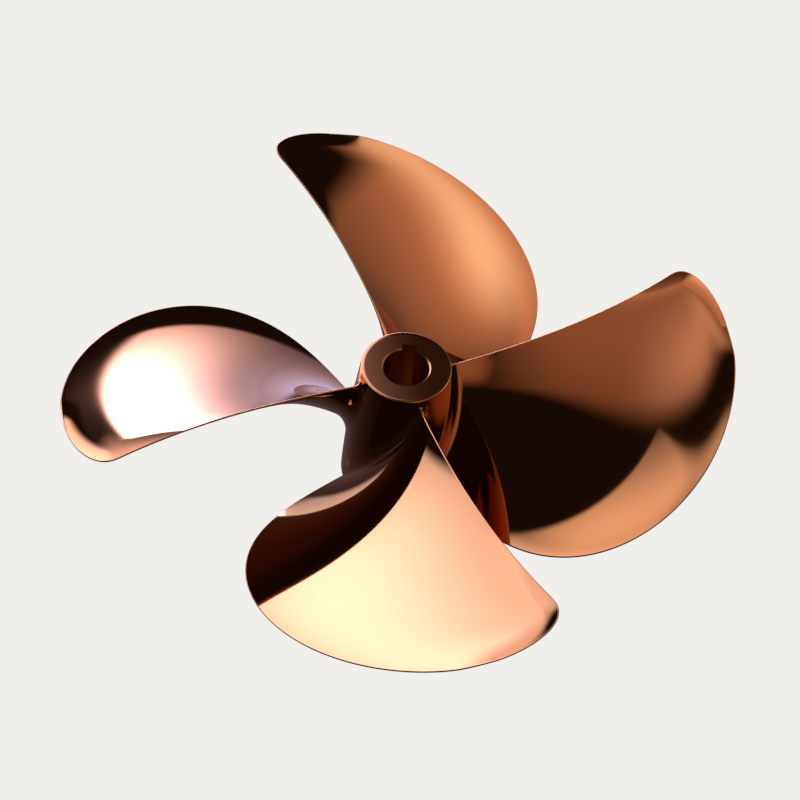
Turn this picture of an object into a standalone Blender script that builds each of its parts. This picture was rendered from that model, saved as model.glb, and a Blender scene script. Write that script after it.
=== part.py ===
"""Right-hand, four-bladed ship propeller, cast in one piece and bored to a standard keyed shaft taper.

Metres, +Z up. The shaft axis is Z. The large forward face of the hub is on z = 0, and the small
aft face, where the propeller nut bears, is on top. Angles count anticlockwise as seen from aft.
"""

from math import cos, pi, radians, sin, sqrt

import bmesh
import bpy
import numpy as np

# Propeller
DIAMETER = 0.610
BLADE_COUNT = 4
PITCH = 0.520

# Hub, turned on the outside and at both ends
HUB_LENGTH = 0.1524
HUB_AFT_RADIUS = 0.0405
HUB_FORWARD_RADIUS = 0.0505
HUB_SWELL = 0.0020
HUB_AFT_CHAMFER = 0.0010
HUB_FORWARD_ROUNDING = 0.0060
HUB_SEGMENTS = 64

# Bore for a shaft of 50.8 mm, tapered 1 in 16 on diameter
SHAFT_DIAMETER = 0.0508
BORE_TAPER = 1 / 16
BORE_CHAMFER = 0.0014

# Keyway, along the bore
KEY_WIDTH = 0.0127
KEY_DEPTH = 0.00635
KEY_ANGLE = radians(88)

# Blade outline, as angles from the datum line of the blade, and spans as shares of the tip radius
LEADING_ROOT = radians(-47.5)
LEADING_FULLNESS = 3.53
LEADING_ROUNDNESS = 0.78
TRAILING_ROOT = radians(24.3)
TRAILING_SWEEP = radians(4.6)
TRAILING_CURVE = radians(3.6)
TIP_LEADING = radians(13.8)
TIP_TRAILING = radians(19.0)
TIP_CORNER_START = 0.89
TIP_CORNER_FULLNESS = 2.4
TIP_CORNER_ROUNDNESS = 0.5

# Height of the datum line, where it crosses the 0.6 span, and its rake towards aft
DATUM_HEIGHT = 0.1111
DATUM_SPAN = 0.6
RAKE_SLOPE = 0.045

# Blade sections: thickness, hollow of the pressure face, and how its trailing tip corner rolls down
ROOT_THICKNESS = 0.0190
SECTION_FULLNESS = 0.8
EDGE_THICKNESS = 0.0018
FACE_HOLLOW = 0.006
ROLL_DROP = 0.0016
ROLL_WIDTH = 0.016
ROLL_START = 0.55
ROLL_FULL = 0.90

# Root fillets, at the leading and the trailing end of a section
LEADING_FILLET = 0.015
TRAILING_FILLET = 0.007
FILLET_END_SLOPE = radians(20)

# Mesh of one blade
ROOT_SPAN = 0.16
SPAN_ROWS = 28
CHORD_POINTS = 17
NOSE_POINTS = 3
ROOT_DEPTH = 0.010
ROOT_DIP = 0.002
SHARP_EDGE = radians(35)

TIP_RADIUS = DIAMETER / 2
BRONZE = (0.60, 0.27, 0.11, 1.0)


def clear_scene():
    for obj in list(bpy.data.objects):
        bpy.data.objects.remove(obj, do_unlink=True)


def new_collection(name):
    collection = bpy.data.collections.new(name)
    bpy.context.scene.collection.children.link(collection)
    return collection


def new_mesh_object(name, points, faces, collection):
    mesh = bpy.data.meshes.new(name)
    mesh.from_pydata([tuple(point) for point in points], [], faces)
    obj = bpy.data.objects.new(name, mesh)
    collection.objects.link(obj)
    return obj


def shade_smooth(mesh):
    """Round surfaces are shaded smooth, and edges that turn sharply stay crisp."""
    mesh.shade_smooth()
    mesh.set_sharp_from_angle(angle=SHARP_EDGE)


def principled(name, color, roughness, metallic):
    material = bpy.data.materials.new(name)
    material.use_nodes = True
    shader = material.node_tree.nodes["Principled BSDF"]
    shader.inputs["Base Color"].default_value = color
    shader.inputs["Roughness"].default_value = roughness
    shader.inputs["Metallic"].default_value = metallic
    return material


def hub_radius(z):
    """Outer radius of the hub at a height: a straight taper with a slight swell in the middle."""
    along = np.clip(z / HUB_LENGTH, 0, 1)
    taper = HUB_FORWARD_RADIUS + (HUB_AFT_RADIUS - HUB_FORWARD_RADIUS) * along
    return taper + HUB_SWELL * 4 * along * (1 - along)


def bore_radius(z):
    return (SHAFT_DIAMETER - BORE_TAPER * z) / 2


def hub_profile():
    """The closed section of the hub wall: down its outside, in along the bottom and up the bore."""
    points = [(HUB_AFT_RADIUS - HUB_AFT_CHAMFER, HUB_LENGTH)]
    for height in np.linspace(HUB_LENGTH - HUB_AFT_CHAMFER, HUB_FORWARD_ROUNDING, 7):
        points.append((float(hub_radius(height)), float(height)))
    lowest_radius = points[-1][0]
    for turn in np.linspace(0, pi / 2, 4)[1:]:
        across = lowest_radius - HUB_FORWARD_ROUNDING * (1 - cos(turn))
        points.append((across, HUB_FORWARD_ROUNDING * (1 - sin(turn))))
    points.append((bore_radius(0) + BORE_CHAMFER, 0.0))
    points.append((bore_radius(0), BORE_CHAMFER))
    points.append((bore_radius(HUB_LENGTH), HUB_LENGTH - BORE_CHAMFER))
    points.append((bore_radius(HUB_LENGTH) + BORE_CHAMFER, HUB_LENGTH))
    return points


def make_hub(collection):
    profile = hub_profile()
    mesh = bpy.data.meshes.new("propeller_casting")
    edges = [(i, (i + 1) % len(profile)) for i in range(len(profile))]
    mesh.from_pydata([(x, 0.0, z) for x, z in profile], edges, [])
    obj = bpy.data.objects.new("propeller_casting", mesh)
    collection.objects.link(obj)
    screw = obj.modifiers.new("turned", "SCREW")
    screw.axis = "Z"
    screw.angle = 2 * pi
    screw.steps = HUB_SEGMENTS
    screw.render_steps = HUB_SEGMENTS
    screw.use_merge_vertices = True
    screw.merge_threshold = 0.0001
    screw.use_smooth_shade = True
    return obj


def leading_angle(span):
    """Angle of the leading edge at a share of the tip radius: swept back towards the tip."""
    sweep = 1 - (1 - span**LEADING_FULLNESS) ** LEADING_ROUNDNESS
    return LEADING_ROOT + (TIP_LEADING - LEADING_ROOT) * sweep


def trailing_angle(span):
    """Angle of the trailing edge: a gentle sweep, then a rounded corner that runs into the tip arc."""
    along = (span - ROOT_SPAN) / (1 - ROOT_SPAN)
    edge = TRAILING_ROOT + TRAILING_SWEEP * along + TRAILING_CURVE * along**2
    corner = np.clip((span - TIP_CORNER_START) / (1 - TIP_CORNER_START), 0, 1)
    left = (1 - corner**TIP_CORNER_FULLNESS) ** TIP_CORNER_ROUNDNESS
    return TIP_TRAILING + (edge - TIP_TRAILING) * left


def screw_height(angle, span):
    """Height of the blade's screw surface, with the rake of its datum line."""
    return DATUM_HEIGHT + PITCH * angle / (2 * pi) + RAKE_SLOPE * (span - DATUM_SPAN) * TIP_RADIUS


def fillet(height, size):
    """Widening of a section at a height above the hub: an arc that ends in a straight slope."""
    lowest = size * (1 - cos(FILLET_END_SLOPE))
    on_arc = np.clip(height, lowest, size)
    arc = size - np.sqrt(size**2 - (size - on_arc) ** 2)
    below = np.clip(lowest - height, 0, None) / np.tan(FILLET_END_SLOPE)
    return np.minimum(arc + below, size)


def ring_places():
    """Places round a section: the face from leading to trailing edge, a nose, the back and a nose.

    Each place is a share of the chord and a direction, square to the chord or round a nose.
    """
    chord = (1 - np.cos(np.linspace(0, pi, CHORD_POINTS))) / 2
    nose = np.linspace(pi / 2, -pi / 2, NOSE_POINTS + 2)[1:-1]
    places = [(share, pi / 2) for share in chord] + [(1.0, turn) for turn in nose]
    places += [(share, -pi / 2) for share in chord[::-1]]
    places += [(0.0, pi - turn) for turn in nose[::-1]]
    return np.array(places).T


def blade_ring(depth, share):
    """One closed ring of points: below the hub surface by a depth, or a share of the way to the tip."""
    along, turn = ring_places()
    z = np.full(len(along), DATUM_HEIGHT)
    for _ in range(4):
        height = share * (TIP_RADIUS - hub_radius(z)) - depth
        radius = hub_radius(z) + height
        span = np.minimum(radius / TIP_RADIUS, 1)
        start = leading_angle(span)
        angle = start + along * (trailing_angle(span) - start)
        z = screw_height(angle, span)

    slope = np.arctan2(PITCH, 2 * pi * radius)
    chord = (trailing_angle(span) - start) * radius / np.cos(slope)
    arch = 4 * along * (1 - along)
    inward = np.clip((1 - span) / (1 - ROOT_SPAN), 0, 1)
    body = (ROOT_THICKNESS - EDGE_THICKNESS) * inward * arch**SECTION_FULLNESS
    hollow = FACE_HOLLOW * arch * (chord / TIP_RADIUS) ** 2
    to_edge = np.minimum((1 - along) * chord, TIP_RADIUS - radius)
    strength = along * np.clip((span - ROLL_START) / (ROLL_FULL - ROLL_START), 0, 1)
    roll = ROLL_DROP * strength * np.clip(1 - to_edge / ROLL_WIDTH, 0, 1) ** 2

    size = LEADING_FILLET + (TRAILING_FILLET - LEADING_FILLET) * along
    wide = EDGE_THICKNESS / 2 + fillet(height, size)
    lift = wide * np.sin(turn) - roll - hollow - body * (turn == -pi / 2)
    forth = wide * np.cos(turn)
    angle = angle + (forth * np.cos(slope) - lift * np.sin(slope)) / radius
    z = z + forth * np.sin(slope) + lift * np.cos(slope)
    return np.column_stack([radius * np.cos(angle), radius * np.sin(angle), z])


def blade_mesh():
    """A loft through rings inside the hub wall, over the root fillet and out to the tip."""
    shares = (1 - np.cos(np.linspace(0, pi, SPAN_ROWS))) / 2
    rings = [blade_ring(ROOT_DEPTH, 0.0), blade_ring(ROOT_DIP, 0.0)]
    rings += [blade_ring(0.0, share) for share in shares]
    count = len(rings[0])
    points = np.concatenate(rings)
    faces = []
    for row in range(len(rings) - 1):
        for i in range(count):
            j = (i + 1) % count
            low, high = row * count, (row + 1) * count
            faces.append((low + i, high + i, high + j, low + j))
    faces.append(tuple(range(count)))
    faces.append(tuple(range(len(points) - 1, len(points) - count - 1, -1)))
    return points, faces


def as_cutter(obj):
    obj.hide_render = True
    obj.display_type = "WIRE"


def add_boolean(target, other, operation):
    boolean = target.modifiers.new(other.name, "BOOLEAN")
    boolean.operation = operation
    boolean.object = other
    boolean.solver = "EXACT"


def add_blades(casting, collection):
    points, faces = blade_mesh()
    shared = None
    for number in range(BLADE_COUNT):
        name = f"blade_{number + 1}"
        if shared is None:
            blade = new_mesh_object(name, points, faces, collection)
            shared = blade.data
            edit = bmesh.new()
            edit.from_mesh(shared)
            bmesh.ops.recalc_face_normals(edit, faces=edit.faces)
            edit.to_mesh(shared)
            edit.free()
            shade_smooth(shared)
        else:
            blade = bpy.data.objects.new(name, shared)
            collection.objects.link(blade)
        blade.rotation_euler.z = number * 2 * pi / BLADE_COUNT
        as_cutter(blade)
        add_boolean(casting, blade, "UNION")


def cut_keyway(casting, collection):
    """The keyway runs through the hub, at the slope of the bore."""
    past = 0.010
    inner = 0.5 * bore_radius(HUB_LENGTH)
    corners = []
    for z in (-past, HUB_LENGTH + past):
        wall = sqrt(bore_radius(z) ** 2 - (KEY_WIDTH / 2) ** 2)
        for x in (inner, wall + KEY_DEPTH):
            for y in (-KEY_WIDTH / 2, KEY_WIDTH / 2):
                corners.append((x, y, z))
    edit = bmesh.new()
    bmesh.ops.create_cube(edit, size=1)
    ordered = sorted(edit.verts, key=lambda v: (v.co.z, v.co.x, v.co.y))
    for vertex, corner in zip(ordered, corners):
        vertex.co = corner
    mesh = bpy.data.meshes.new("keyway_cutter")
    edit.to_mesh(mesh)
    edit.free()
    cutter = bpy.data.objects.new("keyway_cutter", mesh)
    collection.objects.link(cutter)
    cutter.rotation_euler.z = KEY_ANGLE
    as_cutter(cutter)
    add_boolean(casting, cutter, "DIFFERENCE")


def main():
    clear_scene()
    propeller = new_collection("ship_propeller")
    helpers = new_collection("cutters")
    casting = make_hub(propeller)
    add_blades(casting, helpers)
    cut_keyway(casting, helpers)
    casting.data.materials.append(principled("polished_bronze", BRONZE, 0.2, 1.0))


main()
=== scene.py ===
from math import cos, pi, radians, sin, tau

import bmesh
import bpy
import numpy as np
from mathutils import Matrix, Vector
from mathutils.geometry import delaunay_2d_cdt


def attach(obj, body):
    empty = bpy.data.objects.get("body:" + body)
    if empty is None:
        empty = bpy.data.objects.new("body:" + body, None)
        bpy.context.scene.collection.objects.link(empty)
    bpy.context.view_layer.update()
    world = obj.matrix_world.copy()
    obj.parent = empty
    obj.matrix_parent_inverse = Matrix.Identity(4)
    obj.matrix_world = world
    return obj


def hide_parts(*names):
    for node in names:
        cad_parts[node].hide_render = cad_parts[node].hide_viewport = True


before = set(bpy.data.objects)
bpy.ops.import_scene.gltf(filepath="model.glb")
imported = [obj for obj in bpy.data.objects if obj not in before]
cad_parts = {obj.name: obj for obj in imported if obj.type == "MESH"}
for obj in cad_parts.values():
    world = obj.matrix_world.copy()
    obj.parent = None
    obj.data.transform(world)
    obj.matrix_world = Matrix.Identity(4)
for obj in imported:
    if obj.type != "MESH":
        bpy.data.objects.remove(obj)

# Looks of the ship propeller. One dressed casting stands for the CAD casting, with the same sizes.
# Metres, +Z up. The shaft axis is Z and the small aft face of the hub is on top.

# Hub
TIP_RADIUS = 0.305
BLADE_COUNT = 4
HUB_LENGTH = 0.1524
HUB_AFT_RADIUS = 0.0405
HUB_FORWARD_RADIUS = 0.0505
HUB_SWELL = 0.0020
AFT_CHAMFER = 0.0010
FORWARD_ROUNDING = 0.0060

# Bore, tapered 1 in 16 on diameter, and its keyway
SHAFT_DIAMETER = 0.0508
BORE_TAPER = 1 / 16
BORE_CHAMFER = 0.0014
KEY_WIDTH = 0.0127
KEY_DEPTH = 0.00635
KEY_ANGLE = radians(88)

# Blade outline, as angles from the datum line, and spans as shares of the tip radius
PITCH = 0.520
LEADING_ROOT = radians(-47.5)
LEADING_FULLNESS = 3.53
LEADING_ROUNDNESS = 0.78
TRAILING_ROOT = radians(24.3)
TRAILING_SWEEP = radians(4.6)
TRAILING_CURVE = radians(3.6)
TIP_LEADING = radians(13.8)
TIP_TRAILING = radians(19.0)
CORNER_START = 0.89
CORNER_FULLNESS = 2.4
CORNER_ROUNDNESS = 0.5
DATUM_HEIGHT = 0.1111
DATUM_SPAN = 0.6
RAKE_SLOPE = 0.045
ROOT_SPAN = 0.16

# Blade sections
ROOT_THICKNESS = 0.0190
SECTION_FULLNESS = 0.8
EDGE_THICKNESS = 0.0018
FACE_HOLLOW = 0.006
ROLL_DROP = 0.0016
ROLL_WIDTH = 0.016
ROLL_START = 0.55
ROLL_FULL = 0.90
LEADING_FILLET = 0.015
TRAILING_FILLET = 0.007

# How finely the surfaces are divided
FILLET_ROWS = 17
SPAN_ROWS = 90
CHORD_POINTS = 49
NOSE_POINTS = 12
HUB_SPACING = 0.0025
SECTOR_POINTS = 32
WELD = 0.00001
SHARP_EDGE = radians(35)
GROOVE_PITCH = 0.0017
GROOVE_DEPTH = 0.000012
GROOVE_LEAN = 0.20
OUTLINE_RADIUS = TIP_RADIUS - EDGE_THICKNESS / 2


def hub_radius(z):
    """Outer radius of the hub at a height: a straight taper with a slight swell in the middle."""
    along = np.clip(z / HUB_LENGTH, 0, 1)
    taper = HUB_FORWARD_RADIUS + (HUB_AFT_RADIUS - HUB_FORWARD_RADIUS) * along
    return taper + HUB_SWELL * 4 * along * (1 - along)


def bore_radius(z):
    return (SHAFT_DIAMETER - BORE_TAPER * z) / 2


def leading_angle(span):
    sweep = 1 - (1 - span**LEADING_FULLNESS) ** LEADING_ROUNDNESS
    return LEADING_ROOT + (TIP_LEADING - LEADING_ROOT) * sweep


def trailing_angle(span):
    along = (span - ROOT_SPAN) / (1 - ROOT_SPAN)
    edge = TRAILING_ROOT + TRAILING_SWEEP * along + TRAILING_CURVE * along**2
    corner = np.clip((span - CORNER_START) / (1 - CORNER_START), 0, 1)
    left = (1 - corner**CORNER_FULLNESS) ** CORNER_ROUNDNESS
    return TIP_TRAILING + (edge - TIP_TRAILING) * left


def screw_height(angle, radius):
    """Height of the screw surface, with the rake of its datum line."""
    return DATUM_HEIGHT + PITCH * angle / tau + RAKE_SLOPE * (radius - DATUM_SPAN * TIP_RADIUS)


def wrap(pattern):
    """Where a point of the blade's flat pattern lies: angle, radius and distance off the screw surface."""
    angle, radius, lift = pattern.T
    slope = np.arctan2(PITCH, tau * radius)
    z = screw_height(angle, radius) + lift * np.cos(slope)
    turned = angle - lift * np.sin(slope) / radius
    return np.column_stack([radius * np.cos(turned), radius * np.sin(turned), z])


def widening(height, along):
    """How far the root fillet widens a section at a height over the hub: a quarter arc, tangent to the hub."""
    size = LEADING_FILLET + (TRAILING_FILLET - LEADING_FILLET) * along
    left = np.clip(size - height, 0, None)
    return size - np.sqrt(size**2 - left**2)


def row_shares():
    """Shares of the way from hub to tip: close together in the root fillet and at the tip."""
    reach = TIP_RADIUS - HUB_AFT_RADIUS
    fillet = 0.0001 * np.arange(FILLET_ROWS) ** 2 / reach
    rest = np.sin(np.linspace(0, pi / 2, SPAN_ROWS + 1)[1:])
    return np.append(fillet, fillet[-1] + (1 - fillet[-1]) * rest)


def section(share, along, forth, side):
    """Points of one section of the flat pattern. forth and side say how far out of its edge they are."""
    z = np.full(len(along), DATUM_HEIGHT)
    for _ in range(8):
        height = share * (OUTLINE_RADIUS - hub_radius(z))
        radius = hub_radius(z) + height
        span = np.minimum(radius / OUTLINE_RADIUS, 1)
        start = leading_angle(span)
        end = trailing_angle(span)
        angle = start + along * (end - start)
        slope = np.arctan2(PITCH, tau * radius)
        chord = (end - start) * radius / np.cos(slope)
        arch = 4 * along * (1 - along)
        inward = np.clip((1 - span) / (1 - ROOT_SPAN), 0, 1)
        body = (ROOT_THICKNESS - EDGE_THICKNESS) * inward * arch**SECTION_FULLNESS
        hollow = FACE_HOLLOW * arch * (chord / TIP_RADIUS) ** 2
        wide = EDGE_THICKNESS / 2 + widening(height, along)
        lift = wide * side - hollow - body * (side == -1)
        outer = angle + wide * forth * np.cos(slope) / radius
        z = screw_height(outer, radius) + lift * np.cos(slope)
    return np.column_stack([outer, radius, lift])


def outline_of(shares, along_tip):
    """The blade's bare outline as (angle, radius), from the leading root round the tip to the trailing root."""
    none = np.zeros(1)
    leading = [section(share, none, none, none)[0, :2] for share in shares]
    trailing = [section(share, none + 1, none, none)[0, :2] for share in shares]
    tip = section(1.0, along_tip, 0 * along_tip, 0 * along_tip)[:, :2]
    return np.concatenate([leading, tip, trailing[::-1]])


def outward_of(outline):
    """The direction out of the blade at each point of its outline, along the chord and along the radius."""
    step = np.gradient(outline, axis=0)
    slope = np.arctan2(PITCH, tau * outline[:, 1])
    across = step[:, 0] * outline[:, 1] / np.cos(slope)
    outward = np.column_stack([-step[:, 1], across])
    return outward / np.linalg.norm(outward, axis=1)[:, None]


def roll_drop(points, outline, strength):
    """How far the face rolls down towards the edge: most at the edge, and nothing a roll's width inside it."""
    gap = np.full(len(points), np.inf)
    power = np.zeros(len(points))
    stretch = points[:, 1] / np.cos(np.arctan2(PITCH, tau * points[:, 1]))
    for k, (angle, radius) in enumerate(outline[:-1]):
        run, rise = (outline[k + 1, 0] - angle) * stretch, outline[k + 1, 1] - radius
        across, up = (points[:, 0] - angle) * stretch, points[:, 1] - radius
        along = np.clip((across * run + up * rise) / (run**2 + rise**2), 0, 1)
        away = np.hypot(across - along * run, up - along * rise)
        nearer = away < gap
        gap = np.where(nearer, away, gap)
        power = np.where(nearer, strength[k] + along * (strength[k + 1] - strength[k]), power)
    return ROLL_DROP * power * np.clip(1 - gap / ROLL_WIDTH, 0, 1) ** 2


def blade_pattern():
    """The flat pattern of one blade: its points, its faces and the ring of points where it meets the hub."""
    shares = row_shares()
    rows = len(shares)
    chord = (1 - np.cos(np.linspace(0, pi, CHORD_POINTS))) / 2
    turns = np.linspace(pi / 2, -pi / 2, NOSE_POINTS + 2)
    flat = np.ones(CHORD_POINTS)
    points = [section(share, chord, 0 * flat, flat) for share in shares]
    points += [section(share, chord, 0 * flat, -flat) for share in shares]
    ids = np.arange(2 * rows * CHORD_POINTS).reshape(2, rows, CHORD_POINTS)

    outline = outline_of(shares, chord[1:-1])
    outward = outward_of(outline)
    near_hub = outline[:, 1] < HUB_FORWARD_RADIUS + 1.5 * LEADING_FILLET
    outward[near_hub] = np.sign(outward[near_hub]) * (1, 0)
    inner = turns[1:-1]
    place = [(share, 0.0) for share in shares] + [(1.0, along) for along in chord[1:-1]]
    place += [(share, 1.0) for share in shares[::-1]]
    rim = []
    for (share, along), (across, up) in zip(place, outward):
        nose = section(share, np.full(NOSE_POINTS, along), across * np.cos(inner), np.sin(inner))
        nose[:, 1] += up * EDGE_THICKNESS / 2 * np.cos(inner)
        rim.append(nose)
    first = ids.size
    noses = first + np.arange(len(place) * NOSE_POINTS).reshape(len(place), NOSE_POINTS)
    border = np.concatenate([ids[:, :, 0], ids[:, -1, 1:-1], ids[:, ::-1, -1]], axis=1)
    noses = np.column_stack([border[0], noses, border[1]])

    points = np.concatenate(points + rim)
    strength = np.clip((outline[:, 1] / TIP_RADIUS - ROLL_START) / (ROLL_FULL - ROLL_START), 0, 1)
    strength *= [along for _, along in place]
    points[:, 2] -= roll_drop(points, outline, strength)

    quads = []
    for grid in (ids[0], ids[1][:, ::-1], noses[:, ::-1].T):
        quads += list(zip(*(part.ravel() for part in (grid[:-1, :-1], grid[:-1, 1:], grid[1:, 1:], grid[1:, :-1]))))
    root = np.concatenate([ids[0, 0], noses[-1, 1:-1], ids[1, 0, ::-1], noses[0, 1:-1][::-1]])
    return points, quads, root


def inside(points, loop):
    """Which points lie inside a closed loop of points in the plane."""
    x, y = points.T
    found = np.zeros(len(points), bool)
    for (x0, y0), (x1, y1) in zip(loop, np.roll(loop, -1, axis=0)):
        if y0 != y1:
            crosses = ((y0 > y) != (y1 > y)) & (x < x0 + (y - y0) * (x1 - x0) / (y1 - y0))
            found ^= crosses
    return found


def twist(z):
    """Angle by which the sector's sides turn at a height, so that they run between the blade roots."""
    return (z - DATUM_HEIGHT) * tau / PITCH


def hub_rings(start):
    """Radii and heights of the turned rings, from the aft rim over the face, bore and forward face."""
    top = HUB_LENGTH
    corner = np.linspace(0, pi / 2, 4)
    rim = float(hub_radius(top - AFT_CHAMFER))
    chamfer = [(rim - AFT_CHAMFER * (1 - cos(turn)), top - AFT_CHAMFER * (1 - sin(turn))) for turn in corner]
    mouth = bore_radius(top) + BORE_CHAMFER
    face = [(radius, top) for radius in np.linspace(chamfer[-1][0], mouth, 8)[1:]]
    heights = np.linspace(top - BORE_CHAMFER, BORE_CHAMFER, 24)
    bore = [(bore_radius(z), z) for z in heights]
    base = float(hub_radius(FORWARD_ROUNDING))
    outer = base - FORWARD_ROUNDING
    forward = [(radius, 0.0) for radius in np.linspace(bore_radius(0) + BORE_CHAMFER, outer, 6)]
    turns = np.linspace(0, pi / 2, 7)[1:]
    rounding = [(outer + FORWARD_ROUNDING * sin(t), FORWARD_ROUNDING * (1 - cos(t))) for t in turns]
    return chamfer + face + bore + forward + rounding


def hub_sector(root):
    """A quarter of the hub: its outer skin, open where the blade stands, and its turned faces and bore."""
    girth = HUB_AFT_RADIUS
    angle = np.arctan2(root[:, 1], root[:, 0]) - twist(root[:, 2])
    hole = np.column_stack([angle * girth, root[:, 2]]) * 1000
    middle = (angle.min() + angle.max()) / 2
    half = pi / BLADE_COUNT
    turns = middle + np.linspace(-half, half, SECTOR_POINTS + 1)
    rings = hub_rings(root)
    low, high = rings[-1][1], rings[0][1]
    levels = np.linspace(low, high, round((high - low) / HUB_SPACING))
    bottom = np.column_stack([turns * girth, np.full(len(turns), low)])
    right = np.column_stack([np.full(len(levels), turns[-1] * girth), levels])[1:-1]
    left = right * (1, 1) + ((turns[0] - turns[-1]) * girth, 0)
    frame_loop = np.concatenate([bottom, right, bottom[::-1] + (0, high - low), left[::-1]]) * 1000
    columns = np.arange(turns[0] * girth, turns[-1] * girth, HUB_SPACING)
    grid = np.array([(x + HUB_SPACING / 2 * (k % 2), y) for k, y in enumerate(levels) for x in columns]) * 1000
    loops = np.concatenate([frame_loop, hole])
    away = np.min([np.hypot(*(grid - point).T) for point in loops], axis=0)
    inner = (grid[:, 0] > turns[0] * girth * 1000) & (grid[:, 0] < turns[-1] * girth * 1000)
    grid = grid[inner & ~inside(grid, hole) & (away > HUB_SPACING * 600)]
    edges = []
    for first, count in ((0, len(frame_loop)), (len(frame_loop), len(hole))):
        edges += [(first + i, first + (i + 1) % count) for i in range(count)]
    flat = [Vector(point) for point in np.concatenate([loops, grid])]
    spots, _, triangles, *_ = delaunay_2d_cdt(flat, edges, [], 0, 1e-5)
    spots = np.array([tuple(spot) for spot in spots])
    triangles = np.array(triangles)
    triangles = triangles[~inside(spots[triangles].mean(axis=1), hole)]
    z = spots[:, 1] / 1000
    angle = spots[:, 0] / 1000 / girth + twist(z)
    radius = hub_radius(z)
    points = [np.column_stack([radius * np.cos(angle), radius * np.sin(angle), z])]
    faces = [tuple(triangle) for triangle in triangles]
    count = len(turns)
    for k, (radius, z) in enumerate(rings):
        angle = turns + twist(z)
        points.append(np.column_stack([radius * np.cos(angle), radius * np.sin(angle), np.full(count, z)]))
        if k:
            first = len(spots) + (k - 1) * count
            faces += [(first + i, first + i + 1, first + count + i + 1, first + count + i) for i in range(count - 1)]
    return np.concatenate(points), faces


def add(tree, kind, links=(), **settings):
    """Adds a node with its settings. Each link gives an input by name or number, and a socket or a value for it."""
    node = tree.nodes.new(kind)
    for name, value in settings.items():
        setattr(node, name, value)
    for name, value in dict(links).items():
        if isinstance(value, bpy.types.NodeSocket):
            tree.links.new(value, node.inputs[name])
        else:
            node.inputs[name].default_value = value
    return node


def wrapping_tree():
    """Wraps a flat blade pattern on its screw surface, repeats the sector round the shaft and welds it."""
    tree = bpy.data.node_groups.new("screw_blades", "GeometryNodeTree")
    for name, kind in (("Sector", "Geometry"), ("Pitch", "Float"), ("Datum height", "Float"), ("Rake slope", "Float"),
                       ("Datum radius", "Float"), ("Blades", "Int"), ("Weld", "Float"), ("Metal", "Material")):
        tree.interface.new_socket(name, in_out="INPUT", socket_type="NodeSocket" + kind)
    tree.interface.new_socket("Casting", in_out="OUTPUT", socket_type="NodeSocketGeometry")
    given = add(tree, "NodeGroupInput").outputs
    pattern = add(tree, "ShaderNodeSeparateXYZ", {0: add(tree, "GeometryNodeInputPosition").outputs[0]}).outputs
    values = {"angle": pattern[0], "radius": pattern[1], "lift": pattern[2], "pitch": given["Pitch"],
              "datum": given["Datum height"], "rake": given["Rake slope"], "rake start": given["Datum radius"]}
    rule = (
        ("girth", "MULTIPLY", "radius", tau),
        ("slope", "ARCTAN2", "pitch", "girth"),
        ("cosine", "COSINE", "slope"),
        ("sine", "SINE", "slope"),
        ("aside", "MULTIPLY", "lift", "sine"),
        ("aside angle", "DIVIDE", "aside", "radius"),
        ("turned", "SUBTRACT", "angle", "aside angle"),
        ("east", "COSINE", "turned"),
        ("north", "SINE", "turned"),
        ("x", "MULTIPLY", "radius", "east"),
        ("y", "MULTIPLY", "radius", "north"),
        ("climb", "MULTIPLY", "pitch", "angle"),
        ("turn climb", "DIVIDE", "climb", tau),
        ("on screw", "ADD", "datum", "turn climb"),
        ("outward", "SUBTRACT", "radius", "rake start"),
        ("raked", "MULTIPLY_ADD", "outward", "rake", "on screw"),
        ("z", "MULTIPLY_ADD", "lift", "cosine", "raked"),
    )
    for name, operation, *terms in rule:
        links = {i: values.get(term, term) for i, term in enumerate(terms)}
        values[name] = add(tree, "ShaderNodeMath", links, operation=operation).outputs[0]
    place = add(tree, "ShaderNodeCombineXYZ", {0: values["x"], 1: values["y"], 2: values["z"]}).outputs[0]
    is_flat = add(tree, "GeometryNodeInputNamedAttribute", {"Name": "flat"}, data_type="BOOLEAN").outputs[0]
    wrapped = add(tree, "GeometryNodeSetPosition", {"Geometry": given["Sector"], "Selection": is_flat, "Position": place})
    share = add(tree, "ShaderNodeMath", {0: tau, 1: given["Blades"]}, operation="DIVIDE").outputs[0]
    index = add(tree, "GeometryNodeInputIndex").outputs[0]
    turn = add(tree, "ShaderNodeMath", {0: index, 1: share}, operation="MULTIPLY").outputs[0]
    rotation = add(tree, "ShaderNodeCombineXYZ", {2: turn}).outputs[0]
    spots = add(tree, "GeometryNodePoints", {"Count": given["Blades"]}).outputs[0]
    copies = add(tree, "GeometryNodeInstanceOnPoints",
                 {"Points": spots, "Instance": wrapped.outputs[0], "Rotation": rotation}).outputs[0]
    real = add(tree, "GeometryNodeRealizeInstances", {0: copies}).outputs[0]
    welded = add(tree, "GeometryNodeMergeByDistance", {"Geometry": real, "Distance": given["Weld"]}).outputs[0]
    metal = add(tree, "GeometryNodeSetMaterial", {"Geometry": welded, "Material": given["Metal"]}).outputs[0]
    add(tree, "NodeGroupOutput", {"Casting": metal})
    return tree


def plain_mesh(obj):
    """Turns an object with its modifiers into a plain mesh, and removes the modifiers."""
    graph = bpy.context.evaluated_depsgraph_get()
    mesh = bpy.data.meshes.new_from_object(obj.evaluated_get(graph), depsgraph=graph)
    obj.modifiers.clear()
    obj.data = mesh


def new_object(name, points, faces):
    mesh = bpy.data.meshes.new(name)
    mesh.from_pydata([tuple(point) for point in points], [], [tuple(int(i) for i in face) for face in faces])
    obj = bpy.data.objects.new(name, mesh)
    bpy.context.scene.collection.objects.link(obj)
    return obj


def recalculate(mesh):
    edit = bmesh.new()
    edit.from_mesh(mesh)
    bmesh.ops.recalc_face_normals(edit, faces=edit.faces)
    edit.to_mesh(mesh)
    edit.free()


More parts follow.
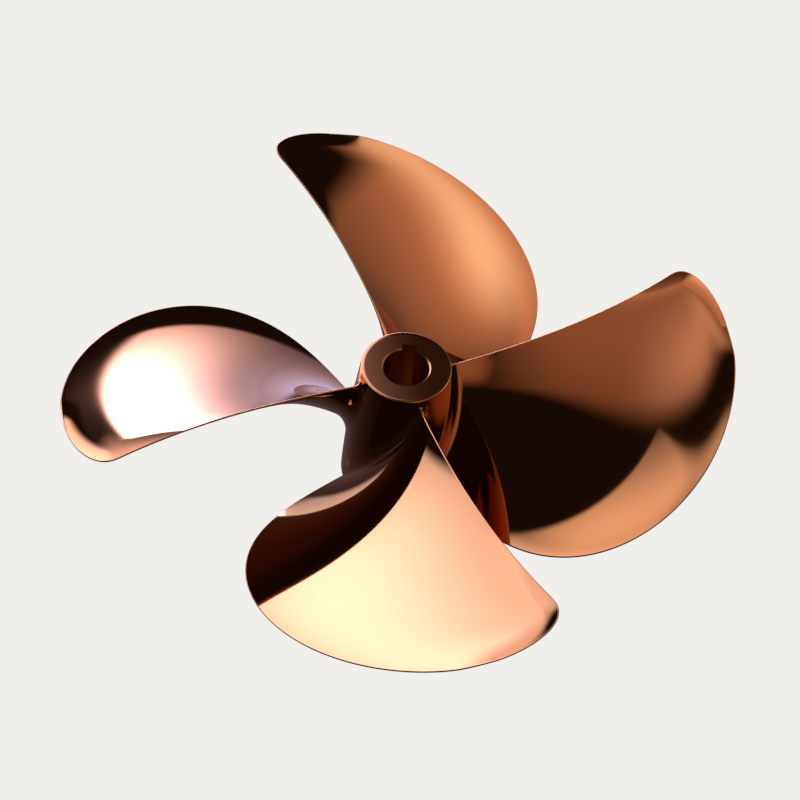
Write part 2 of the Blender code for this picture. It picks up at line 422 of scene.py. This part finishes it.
def cut_keyway(casting):
    """The keyway runs through the hub at the slope of the bore."""
    inner = 0.5 * bore_radius(HUB_LENGTH)
    sections = []
    for z, flare in ((-0.010, 0.0), (HUB_LENGTH + 0.010, 0.0)):
        wall = (bore_radius(z) ** 2 - (KEY_WIDTH / 2) ** 2) ** 0.5
        half = KEY_WIDTH / 2 + flare
        sections += [(inner, -half, z), (wall + KEY_DEPTH, -half, z), (wall + KEY_DEPTH, half, z), (inner, half, z)]
    faces = [(3, 2, 1, 0), (4, 5, 6, 7)]
    faces += [(i, (i + 1) % 4, 4 + (i + 1) % 4, 4 + i) for i in range(4)]
    cutter = new_object("keyway_cutter", sections, faces)
    cutter.data.transform(Matrix.Rotation(KEY_ANGLE, 4, "Z"))
    recalculate(cutter.data)
    cutter.data.materials.append(casting.data.materials[0])
    boolean = casting.modifiers.new("keyway", "BOOLEAN")
    boolean.object = cutter
    boolean.operation = "DIFFERENCE"
    boolean.solver = "EXACT"
    plain_mesh(casting)
    bpy.data.objects.remove(cutter, do_unlink=True)


def make_casting(metal):
    blade, quads, root = blade_pattern()
    sector, faces = hub_sector(wrap(blade[root]))
    quads += [tuple(len(blade) + i for i in face) for face in faces]
    casting = new_object("propeller_casting_polished", np.concatenate([blade, sector]), quads)
    flat = casting.data.attributes.new("flat", "BOOLEAN", "POINT")
    flat.data.foreach_set("value", [True] * len(blade) + [False] * len(sector))
    modifier = casting.modifiers.new("screw_blades", "NODES")
    modifier.node_group = wrapping_tree()
    sizes = {"Pitch": PITCH, "Datum height": DATUM_HEIGHT, "Rake slope": RAKE_SLOPE, "Datum radius": DATUM_SPAN * TIP_RADIUS,
             "Blades": BLADE_COUNT, "Weld": WELD, "Metal": metal}
    for item in modifier.node_group.interface.items_tree:
        if item.name in sizes:
            modifier[item.identifier] = sizes[item.name]
    plain_mesh(casting)
    recalculate(casting.data)
    cut_keyway(casting)
    casting.data.shade_smooth()
    casting.data.set_sharp_from_angle(angle=SHARP_EDGE)
    return casting


def linear(code, alpha=1.0):
    """A colour for a shader from its sRGB hex code."""
    parts = [int(code[i : i + 2], 16) / 255 for i in (0, 2, 4)]
    return tuple(c / 12.92 if c <= 0.04045 else ((c + 0.055) / 1.055) ** 2.4 for c in parts) + (alpha,)


def new_material(name):
    material = bpy.data.materials.new(name)
    material.use_nodes = True
    return material, material.node_tree, material.node_tree.nodes["Principled BSDF"]


def polished_bronze():
    material, tree, shader = new_material("polished_bronze")
    shader.inputs["Base Color"].default_value = linear("D89262")
    shader.inputs["Metallic"].default_value = 1.0
    shader.inputs["Roughness"].default_value = 0.04
    return material


def turned_bronze():
    """Bronze as a lathe leaves it: rings of fine grooves, whose broad flanks all lean outwards."""
    material, tree, shader = new_material("turned_bronze")
    shader.inputs["Base Color"].default_value = linear("D89262")
    shader.inputs["Metallic"].default_value = 1.0
    shader.inputs["Roughness"].default_value = 0.22
    place = add(tree, "ShaderNodeTexCoord").outputs["Object"]
    flat = add(tree, "ShaderNodeVectorMath", {0: place, 1: (1, 1, 0)}, operation="MULTIPLY").outputs[0]
    radius = add(tree, "ShaderNodeVectorMath", {0: flat}, operation="LENGTH").outputs["Value"]
    lean = add(tree, "ShaderNodeMath", {0: radius, 1: -GROOVE_LEAN}, operation="MULTIPLY").outputs[0]
    turns = add(tree, "ShaderNodeMath", {0: radius, 1: tau / GROOVE_PITCH}, operation="MULTIPLY").outputs[0]
    wave = add(tree, "ShaderNodeMath", {0: turns}, operation="SINE").outputs[0]
    height = add(tree, "ShaderNodeMath", {0: wave, 1: GROOVE_DEPTH, 2: lean}, operation="MULTIPLY_ADD").outputs[0]
    bump = add(tree, "ShaderNodeBump", {"Height": height, "Distance": 1.0, "Strength": 1.0}).outputs[0]
    tree.links.new(bump, shader.inputs["Normal"])
    return material


# Bronze darkened to near black for the bore and keyway: painted shade, not the metal's own colour.
def bore_painted_shade_bronze():
    material, tree, shader = new_material("bore_painted_shade_bronze")
    # Near-black base colour: painted shade inside the bore.
    shader.inputs["Base Color"].default_value = linear("2E1E16")
    shader.inputs["Metallic"].default_value = 1.0
    shader.inputs["Roughness"].default_value = 0.5
    return material


def finish_faces(casting, turned, shaded_bore):
    """The turned aft and forward faces get their machined finish; the bore with its keyway gets near-black bronze,
    painted shade.
    """
    mesh = casting.data
    mesh.materials.append(turned)
    mesh.materials.append(shaded_bore)
    for face in mesh.polygons:
        x, y, z = face.center
        from_axis = (x * x + y * y) ** 0.5
        flat_end = abs(face.normal.z) > 0.99 and not 0.0001 < z < HUB_LENGTH - 0.0001
        inwards = face.normal.x * x + face.normal.y * y < 0 or from_axis < bore_radius(z) + KEY_DEPTH
        if flat_end:
            face.material_index = 1
        elif from_axis < bore_radius(z) + KEY_DEPTH + 0.001 and inwards:
            face.material_index = 2


# Studio, as seen from the propeller. Azimuths run from the camera's side over the right, and angles are degrees.
# Each light is a panel: its middle, half its width and height, its roll and the softness of its border. It is
# brightest at its hot spot, and fades with distance from there.
LIGHTS = (
    ("key panel", (224, 27), (28, 38), 0, 3, (225, 25), 38, (1.75, 2.05, 2.75)),
    ("key lamp", (224, 27), (28, 38), 0, 3, (210, 34), 20, (2.0, 1.6, 2.6)),
    ("overhead panel", (248, 1), (20.5, 89), 0, 3, (243, 71), 15, (1.2, 1.13, 1.17)),
    ("back panel", (182, 2), (16, 14.3), -29, 0.8, (202, 19), 16, (18, 19, 31)),
    ("backdrop foot", (175, -13), (18, 29), -29, 1.5, (185, -35), 35, (0.6, 0.65, 1.1)),
    ("floor bounce", (200, -50), (60, 45), 0, 10, (195, -45), 40, (0.1, 0.08, 0.1)),
    ("warm wall", (122, 18), (29.5, 50), 24, 2, (130, 28), 40, (0.43, 0.29, 0.23)),
    ("warm halo", (122, 18), (29.5, 50), 24, 2, (132, 49), 18, (0.6, 0.4, 0.33)),
    ("side lamp", (122, 18), (29.5, 50), 24, 2, (132, 49), 10, (0.5, 0.9, 1.1)),
    ("warm side", (38, 12), (16, 18), 0, 6, (38, 12), 30, (0.34, 0.2, 0.14)),
    ("ceiling lamp", (105, 72), (60, 15.5), 0, 3.5, (122, 79), 8, (0.5, 0.45, 0.48)),
    ("warm ceiling", (105, 72), (60, 15.5), 0, 3.5, (75, 62), 30, (0.36, 0.22, 0.17)),
)
DARK_STUDIO = (0.012, 0.009, 0.007)
PALE_BACKDROP = "F0EFEB"


def direction(azimuth, elevation):
    a, e = radians(azimuth), radians(elevation)
    return Vector((sin(a) * cos(e), -cos(a) * cos(e), sin(e)))


def studio_world():
    """A pale backdrop for the camera, and for the metal the softboxes and dark flags of a studio."""
    world = bpy.data.worlds.new("studio")
    bpy.context.scene.world = world
    world.use_nodes = True
    tree = world.node_tree
    tree.nodes.clear()
    ray = add(tree, "ShaderNodeTexCoord").outputs["Generated"]
    total = add(tree, "ShaderNodeCombineXYZ", {i: part for i, part in enumerate(DARK_STUDIO)}).outputs[0]

    def towards(axis):
        return add(tree, "ShaderNodeVectorMath", {0: ray, 1: axis}, operation="DOT_PRODUCT").outputs["Value"]

    def plus(share, colour):
        lit = add(tree, "ShaderNodeVectorMath", {0: colour, "Scale": share}, operation="SCALE").outputs[0]
        return add(tree, "ShaderNodeVectorMath", {0: total, 1: lit}, operation="ADD").outputs[0]

    for name, middle, halves, roll, soft, hot, spread, colour in LIGHTS:
        ahead = direction(*middle)
        level = direction(middle[0] + 90, 0)
        upright = ahead.cross(level)
        across = level * cos(radians(roll)) + upright * sin(radians(roll))
        facing = towards(ahead)
        sharpness = 1 / (1 - cos(radians(spread)))
        fading = {0: towards(direction(*hot)), 1: sharpness, 2: -sharpness}
        power = add(tree, "ShaderNodeMath", fading, operation="MULTIPLY_ADD").outputs[0]
        share = add(tree, "ShaderNodeMath", {0: power}, operation="EXPONENT").outputs[0]
        for axis, half in zip((across, ahead.cross(across)), halves):
            offset = add(tree, "ShaderNodeMath", {0: towards(axis), 1: facing}, operation="ARCTAN2").outputs[0]
            offset = add(tree, "ShaderNodeMath", {0: offset}, operation="ABSOLUTE").outputs[0]
            limits = {"From Min": radians(half - soft), "From Max": radians(half + soft), "To Min": 1.0, "To Max": 0.0}
            edge = add(tree, "ShaderNodeMapRange", {"Value": offset, **limits}, interpolation_type="SMOOTHSTEP")
            share = add(tree, "ShaderNodeMath", {0: share, 1: edge.outputs[0]}, operation="MULTIPLY").outputs[0]
        total = plus(share, colour)
    studio = add(tree, "ShaderNodeBackground", {"Color": total}).outputs[0]
    backdrop = add(tree, "ShaderNodeBackground", {"Color": linear(PALE_BACKDROP)}).outputs[0]
    seen = add(tree, "ShaderNodeLightPath").outputs["Is Camera Ray"]
    mixed = add(tree, "ShaderNodeMixShader", {0: seen, 1: studio, 2: backdrop}).outputs[0]
    add(tree, "ShaderNodeOutputWorld", {"Surface": mixed})


def make_floor():
    """A plain pale floor, evenly lit, which only the camera sees."""
    reach = 6.0
    corners = [(-reach, -reach, 0), (reach, -reach, 0), (reach, reach, 0), (-reach, reach, 0)]
    floor = new_object("floor", corners, [(0, 1, 2, 3)])
    material = bpy.data.materials.new("pale_floor")
    material.use_nodes = True
    tree = material.node_tree
    tree.nodes.clear()
    glow = add(tree, "ShaderNodeEmission", {"Color": linear(PALE_BACKDROP)}).outputs[0]
    add(tree, "ShaderNodeOutputMaterial", {"Surface": glow})
    floor.data.materials.append(material)
    floor.visible_diffuse = False
    floor.visible_glossy = False
    floor.visible_shadow = False


# The camera stands where the photograph's did: seen from aft and above, a little rolled
CAMERA_ELEVATION = radians(51.28)
CAMERA_ROLL = radians(6.674)
TIP_PIXELS = 338.52
PERSPECTIVE = 0.15
PHOTO_PIXELS = 800
SENSOR = 36.0
AIM_POINT = Vector((0, 0, DATUM_HEIGHT))
AIM_PIXELS = (2.968, -4.029)


def make_camera():
    level = Vector((1, 0, 0))
    over = Vector((0, sin(CAMERA_ELEVATION), cos(CAMERA_ELEVATION)))
    back = Vector((0, -cos(CAMERA_ELEVATION), sin(CAMERA_ELEVATION)))
    right = level * cos(CAMERA_ROLL) + over * sin(CAMERA_ROLL)
    up = over * cos(CAMERA_ROLL) - level * sin(CAMERA_ROLL)
    data = bpy.data.cameras.new("camera")
    data.sensor_width = SENSOR
    data.lens = TIP_PIXELS / PERSPECTIVE / PHOTO_PIXELS * SENSOR
    data.clip_end = 50
    camera = bpy.data.objects.new("camera", data)
    bpy.context.scene.collection.objects.link(camera)
    pixel = TIP_RADIUS / TIP_PIXELS
    place = AIM_POINT + (up * AIM_PIXELS[1] - right * AIM_PIXELS[0]) * pixel + back * TIP_RADIUS / PERSPECTIVE
    camera.matrix_world = Matrix.Translation(place) @ Matrix((right, up, back)).transposed().to_4x4()
    bpy.context.scene.camera = camera


def main():
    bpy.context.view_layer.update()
    bronze = polished_bronze()
    casting = make_casting(bronze)
    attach(casting, "root")
    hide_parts("propeller_casting")
    finish_faces(casting, turned_bronze(), bore_painted_shade_bronze())
    make_camera()
    studio_world()
    make_floor()
    bpy.context.scene.view_settings.view_transform = "Standard"


main()
